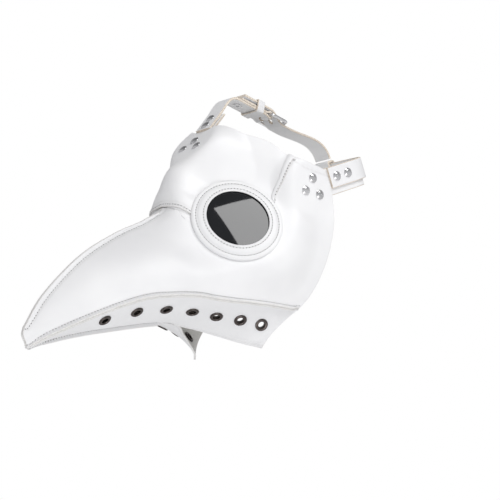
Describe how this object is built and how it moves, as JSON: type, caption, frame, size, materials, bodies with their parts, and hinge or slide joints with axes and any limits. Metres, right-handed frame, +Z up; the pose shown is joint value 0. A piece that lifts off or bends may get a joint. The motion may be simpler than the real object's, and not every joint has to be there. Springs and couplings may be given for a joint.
{
  "type": "plague doctor mask",
  "caption": "White leather plague doctor mask with a long curved beak, two round smoked lenses, eyelets and a buckled head harness.",
  "frame": {"origin": "middle of the wearer's head at eye level, which is the centre of the head that the mask is strapped to", "axes": "+Z up, the beak points toward -Y, the wearer's left is +X"},
  "size_m": [0.1618, 0.3701, 0.2669],
  "materials": {
    "white_leather": "soft satin, fine grain",
    "ring_leather": "soft satin, fine grain",
    "strap_leather": "satin with cream cut edges",
    "smoked_lens": "polished smoked acrylic",
    "eyelet_gunmetal": "polished black nickel",
    "rivet_steel": "polished nickel",
    "buckle_steel": "polished nickel"
  },
  "bodies": {
    "root": {"forehead_panel": "white_leather", "left_side_panel": "white_leather", "right_side_panel": "white_leather", "left_lower_panel": "white_leather", "right_lower_panel": "white_leather", "left_eye_ring": "ring_leather", "right_eye_ring": "ring_leather", "left_lens": "smoked_lens", "right_lens": "smoked_lens", "left_lens_backing": "ring_leather", "right_lens_backing": "ring_leather", "left_eyelets": "eyelet_gunmetal", "right_eyelets": "eyelet_gunmetal", "left_eyelet_washers": "eyelet_gunmetal", "right_eyelet_washers": "eyelet_gunmetal", "left_temple_tab": "strap_leather", "right_temple_tab": "strap_leather", "forehead_tab": "strap_leather", "left_strap": "strap_leather", "right_strap": "strap_leather", "top_strap_front": "strap_leather", "top_strap_back": "strap_leather", "left_temple_rivet_caps": "rivet_steel", "left_temple_rivet_backs": "rivet_steel", "right_temple_rivet_caps": "rivet_steel", "right_temple_rivet_backs": "rivet_steel", "left_strap_rivet_caps": "rivet_steel", "left_strap_rivet_backs": "rivet_steel", "right_strap_rivet_caps": "rivet_steel", "right_strap_rivet_backs": "rivet_steel", "forehead_rivet_caps": "rivet_steel", "forehead_rivet_backs": "rivet_steel", "top_strap_rivet_caps": "rivet_steel", "top_strap_rivet_backs": "rivet_steel", "fold_rivet_caps": "rivet_steel", "fold_rivet_backs": "rivet_steel"},
    "rear_buckle_frame": {"rear_buckle_frame": "buckle_steel"},
    "rear_buckle_prong": {"rear_buckle_prong": "buckle_steel"},
    "rear_keeper": {"rear_keeper": "strap_leather"},
    "top_buckle_frame": {"top_buckle_frame": "buckle_steel"},
    "top_buckle_prong": {"top_buckle_prong": "buckle_steel"},
    "top_keeper": {"top_keeper": "strap_leather"}
  },
  "joints": [
    {"name": "rear_frame_tilt", "type": "hinge", "parent": "root", "child": "rear_buckle_frame", "pos_m": [-0.036, 0.09994, 0.07261], "axis": [0, -0.3746, 0.9272], "range_deg": [0, 12]},
    {"name": "rear_prong_lift", "type": "hinge", "parent": "rear_buckle_frame", "child": "rear_buckle_prong", "pos_m": [-0.036, 0.09994, 0.07261], "axis": [0, -0.3746, 0.9272], "range_deg": [0, 20]},
    {"name": "rear_keeper_slide", "type": "slide", "parent": "root", "child": "rear_keeper", "axis": [-0.866, -0.4636, -0.1873], "range_m": [0, 0.01]},
    {"name": "top_frame_tilt", "type": "hinge", "parent": "root", "child": "top_buckle_frame", "pos_m": [0, 0.026, 0.12], "axis": [1, 0, 0], "range_deg": [0, 12]},
    {"name": "top_prong_lift", "type": "hinge", "parent": "top_buckle_frame", "child": "top_buckle_prong", "pos_m": [0, 0.026, 0.12], "axis": [1, 0, 0], "range_deg": [0, 20]},
    {"name": "top_keeper_slide", "type": "slide", "parent": "root", "child": "top_keeper", "axis": [0, -0.9744, 0.225], "range_m": [0, 0.01]}
  ]
}
